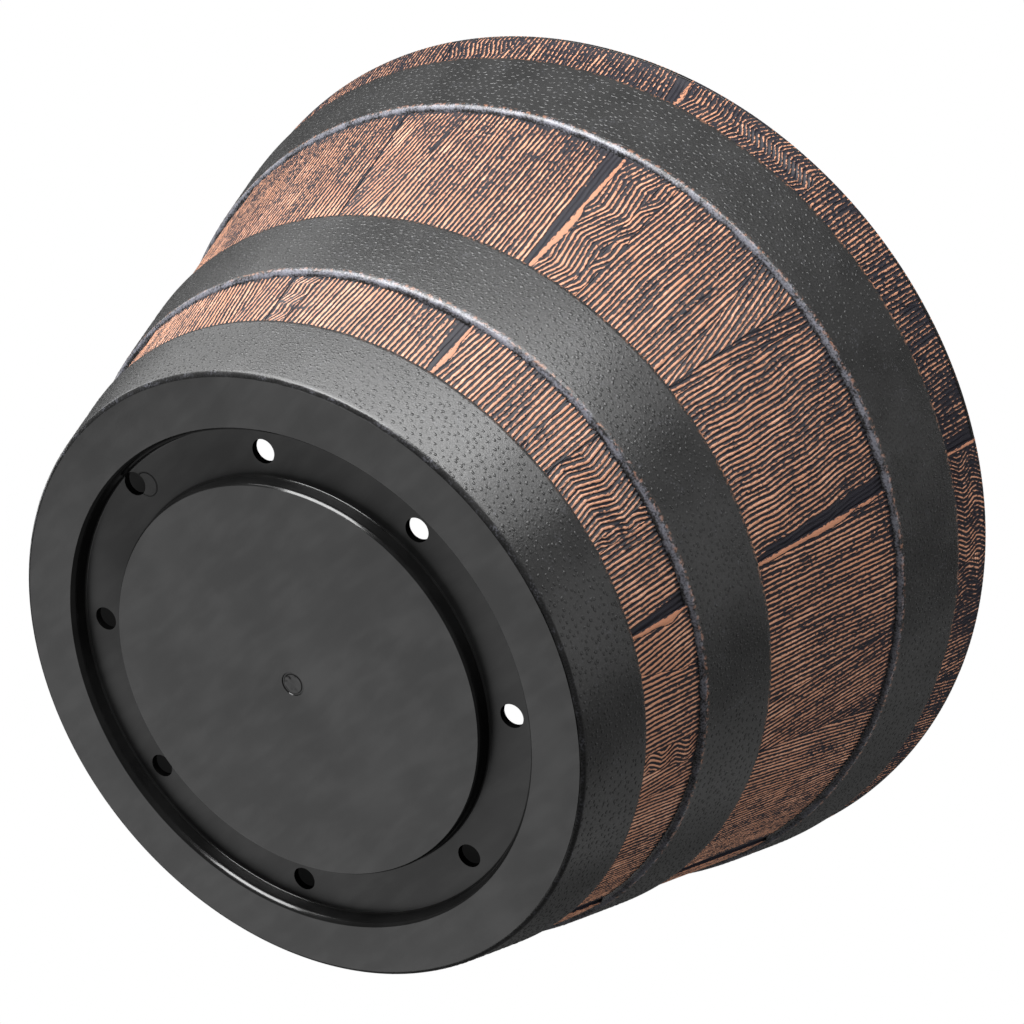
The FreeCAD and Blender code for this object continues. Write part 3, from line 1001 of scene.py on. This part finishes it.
def drain_cutter():
    """Eight upright bars, one for each drilled hole."""
    points, faces = [], []
    sides = np.arange(DRAIN_SIDES) * (2 * math.pi / DRAIN_SIDES)
    for bearing in DRAIN_BEARINGS:
        first = len(points)
        slip = DRAIN_SLIP if bearing == SLIPPED_BEARING else 0.0
        centre = polar(DRAIN_CIRCLE_RADIUS + slip, math.radians(bearing), 0.0)
        ring = np.stack([np.cos(sides), np.sin(sides), 0 * sides], -1) * DRAIN_RADIUS + centre
        points += (ring + (0, 0, -BASE_THICKNESS)).tolist() + (ring + (0, 0, 2 * GROOVE_TOP)).tolist()
        low = list(range(first, first + DRAIN_SIDES))
        high = [corner + DRAIN_SIDES for corner in low]
        faces += [low[::-1], high]
        for side in range(DRAIN_SIDES):
            after = (side + 1) % DRAIN_SIDES
            faces.append([low[side], low[after], high[after], high[side]])
    return make_piece("drain_cutter", points, faces, SMOOTH)


def mark_finish(mesh):
    """Mark the drilled faces of the holes, which the material paints near-black as painted shade, and the
    groove's floor, which is duller than the rest.
    """
    drilled = []
    for face in mesh.polygons:
        upright = abs(face.normal.z) < UPRIGHT_LIMIT
        in_floor = GROOVE_DEPTH < face.center.z / MM < GROOVE_TOP
        distance = face.center.xy.length / MM
        in_groove = DISC_RADIUS + DISC_WALL_MARGIN < distance < GROOVE_MOUTH_RADIUS - GROOVE_DRAFT
        drilled.append(1.0 if upright and in_floor and in_groove else 0.0)
    mesh.attributes.new("bore", "FLOAT", "FACE").data.foreach_set("value", drilled)
    dull = [1.0 if abs(vertex.co.z / MM - GROOVE_DEPTH) < FLOOR_MATCH else 0.0 for vertex in mesh.vertices]
    mesh.attributes.new("matte", "FLOAT", "POINT").data.foreach_set("value", dull)


def make_base():
    """Smooth base with its drain holes drilled through the groove."""
    points, faces = revolve(base_profile(), BASE_SEGMENTS, closed=False)
    roughen_nub(points)
    piece = make_piece("base_smooth", points, faces, SMOOTH, merge=True)
    cutter = drain_cutter()
    drill = piece.modifiers.new("drains", "BOOLEAN")
    drill.operation = "DIFFERENCE"
    drill.object = cutter
    drilled = bpy.data.meshes.new_from_object(piece.evaluated_get(bpy.context.evaluated_depsgraph_get()))
    piece.modifiers.clear()
    piece.data = drilled
    bpy.data.objects.remove(cutter)
    mark_finish(drilled)
    shade_smooth(piece, BASE_SHARP_ANGLE)
    place_piece(piece, "base_pan")


# Rim

RIM_WIDTH = 8.0
RIM_SETBACK = 0.5
RIM_ROUNDING = 0.6
RIM_FOOT_ROUNDING = 0.2
RIM_SEGMENTS = 240
RIM_SHARP_ANGLE = 40


def make_rim():
    """Plain rounded edge of the mouth, behind the grain that runs up to it."""
    inner = RIM_RADIUS - RIM_WIDTH
    outer = RIM_RADIUS - RIM_SETBACK
    corners = [
        (outer, RIM[0], RIM_FOOT_ROUNDING),
        (outer, RIM[1], RIM_ROUNDING),
        (inner, RIM[1], RIM_ROUNDING),
        (inner, RIM[0], RIM_FOOT_ROUNDING),
    ]
    points, faces = revolve(rounded(corners, ARC_STEPS), RIM_SEGMENTS, closed=True)
    piece = make_piece("rim_smooth", points, faces, SMOOTH)
    shade_smooth(piece, RIM_SHARP_ANGLE)
    place_piece(piece, "rim_ring")


# Stage, light and camera

FLOOR_SIZE = 16.0
# The floor lies a hair below the foot, because two faces in one plane hide each other by chance
FLOOR_DROP = 0.0003
# The floor's tone is part shaded and part even, so that it stays pale far from the lights
FLOOR_SHADED = (0.18, 0.18, 0.18, 1.0)
FLOOR_EVEN = (0.7, 0.7, 0.7, 1.0)

# Camera of the reference view: where it stands, its two picture axes and its focal length in pixels
CAMERA_PLACE = Vector((0.0, -0.81871, -0.81685))
CAMERA_RIGHT = Vector((0.61593, -0.60625, 0.50308))
CAMERA_UP = Vector((-0.78780, -0.47411, 0.39318))
SENSOR = 36.0
FOCAL_PIXELS = 2969.4
PICTURE_PIXELS = 1024


def make_floor():
    """Pale floor that shows from above only, so that the view from below passes through it."""
    material = bpy.data.materials.new("pale_floor")
    material.use_nodes = True
    tree = material.node_tree
    tree.nodes.clear()
    output = tree.nodes.new("ShaderNodeOutputMaterial")
    pale = tree.nodes.new("ShaderNodeBsdfDiffuse")
    pale.inputs["Color"].default_value = FLOOR_SHADED
    glow = tree.nodes.new("ShaderNodeEmission")
    glow.inputs["Color"].default_value = FLOOR_EVEN
    lit = tree.nodes.new("ShaderNodeAddShader")
    tree.links.new(pale.outputs[0], lit.inputs[0])
    tree.links.new(glow.outputs[0], lit.inputs[1])
    clear = tree.nodes.new("ShaderNodeBsdfTransparent")
    side = tree.nodes.new("ShaderNodeMixShader")
    behind = tree.nodes.new("ShaderNodeNewGeometry").outputs["Backfacing"]
    tree.links.new(behind, side.inputs["Fac"])
    tree.links.new(lit.outputs[0], side.inputs[1])
    tree.links.new(clear.outputs[0], side.inputs[2])
    tree.links.new(side.outputs[0], output.inputs["Surface"])
    half = FLOOR_SIZE / 2
    mesh = bpy.data.meshes.new("floor")
    corners = [(x, y, -FLOOR_DROP) for x, y in ((-half, -half), (half, -half), (half, half), (-half, half))]
    mesh.from_pydata(corners, [], [(0, 1, 2, 3)])
    mesh.materials.append(material)
    floor = bpy.data.objects.new("floor", mesh)
    bpy.context.scene.collection.objects.link(floor)
    floor.visible_shadow = False
    floor.visible_diffuse = False
    floor.visible_glossy = False


# Light panels: bearing, elevation, distance, width, height and brightness
PANEL_LIGHTS = {
    "strip_1": (190, -1.5, 0.7, 0.185, 0.31, 8.0),
    "strip_2": (205, -1.5, 0.7, 0.185, 0.31, 8.0),
    "strip_3": (220, -1.5, 0.7, 0.185, 0.31, 8.5),
    "strip_4": (235, -1.5, 0.7, 0.185, 0.31, 10.0),
    "strip_end": (250, 5, 0.7, 0.185, 0.17, 11.5),
    "strip_fade": (266, 5, 0.7, 0.185, 0.17, 5.0),
    "low_panel": (214, -25, 0.8, 0.48, 0.32, 16.0),
    "left_panel": (160, 18, 1.0, 0.75, 0.3, 2.1),
    "right_panel": (308, 10, 1.8, 1.0, 0.6, 0.9),
    "back_panel": (5, 22, 1.8, 1.0, 0.7, 0.3),
    "disc_edge_panel": (124, 6, 1.2, 0.3, 0.32, 3.5),
    "base_panel": (81, -45, 1.8, 1.1, 1.1, 1.2),
}
# Fill light, laid out in the same way, that brightens the far side without a shine
FILL_LIGHTS = {
    "right_fill": (325, 40, 1.8, 1.2, 0.8, 13.0),
}
AMBIENT = 0.09
WHITE = (1, 1, 1, 1)


def softbox(name, bearing, elevation, distance, width, height, brightness):
    """Area light that faces the planter from a bearing, with an even brightness over its face."""
    light = bpy.data.lights.new(name, "AREA")
    light.shape = "RECTANGLE"
    light.size = width
    light.size_y = height
    light.energy = brightness * math.pi * width * height
    lamp = bpy.data.objects.new(name, light)
    target = Vector((0, 0, (BOTTOM_HOOP[0] + RIM[1]) / 2 * MM))
    level = math.cos(math.radians(elevation))
    direction = (*polar(level, math.radians(bearing), 0.0)[:2], math.sin(math.radians(elevation)))
    lamp.location = target + Vector(direction) * distance
    lamp.visible_camera = False
    lamp.rotation_mode = "QUATERNION"
    lamp.rotation_quaternion = (target - lamp.location).to_track_quat("-Z", "Y")
    bpy.context.scene.collection.objects.link(lamp)
    return lamp


def make_world():
    """White backdrop that lights the planter only softly."""
    world = bpy.data.worlds.new("studio")
    bpy.context.scene.world = world
    world.use_nodes = True
    tree = world.node_tree
    tree.nodes.clear()
    output = tree.nodes.new("ShaderNodeOutputWorld")
    backdrop = tree.nodes.new("ShaderNodeBackground")
    backdrop.inputs["Color"].default_value = WHITE
    ambient = tree.nodes.new("ShaderNodeBackground")
    ambient.inputs["Color"].default_value = WHITE
    ambient.inputs["Strength"].default_value = AMBIENT
    chosen = tree.nodes.new("ShaderNodeMixShader")
    tree.links.new(tree.nodes.new("ShaderNodeLightPath").outputs["Is Camera Ray"], chosen.inputs["Fac"])
    tree.links.new(ambient.outputs[0], chosen.inputs[1])
    tree.links.new(backdrop.outputs[0], chosen.inputs[2])
    tree.links.new(chosen.outputs[0], output.inputs["Surface"])


def make_camera():
    """Camera that looks up at the base, at the angle of the reference view."""
    data = bpy.data.cameras.new("camera")
    data.sensor_width = SENSOR
    data.lens = SENSOR * FOCAL_PIXELS / PICTURE_PIXELS
    camera = bpy.data.objects.new("camera", data)
    back = CAMERA_RIGHT.cross(CAMERA_UP)
    axes = Matrix((CAMERA_RIGHT, CAMERA_UP, back)).transposed().to_4x4()
    camera.matrix_world = Matrix.Translation(CAMERA_PLACE) @ axes
    bpy.context.scene.collection.objects.link(camera)
    bpy.context.scene.camera = camera


make_wall_core()
for band_name in BANDS:
    for stave_kind in STAVE_KINDS:
        make_staves(band_name, stave_kind)
make_hoop("bottom_hoop", (FOOT_EDGE, BOTTOM_HOOP[1]), FOOT_LIP, FOOT_FROST_SHEEN, flecking=0.0)
make_hoop("middle_hoop", MIDDLE_HOOP, SHOULDER_RUN, edge_marks_and_sheen=1.0, flecking=1.0)
make_hoop("top_hoop", TOP_HOOP, SHOULDER_RUN, edge_marks_and_sheen=1.0, flecking=1.0)
make_base()
make_rim()
make_floor()
make_world()
for panel_name, panel_light in PANEL_LIGHTS.items():
    softbox(panel_name, *panel_light)
for fill_name, fill_light in FILL_LIGHTS.items():
    softbox(fill_name, *fill_light).visible_glossy = False
make_camera()
bpy.context.scene.view_settings.view_transform = "Standard"
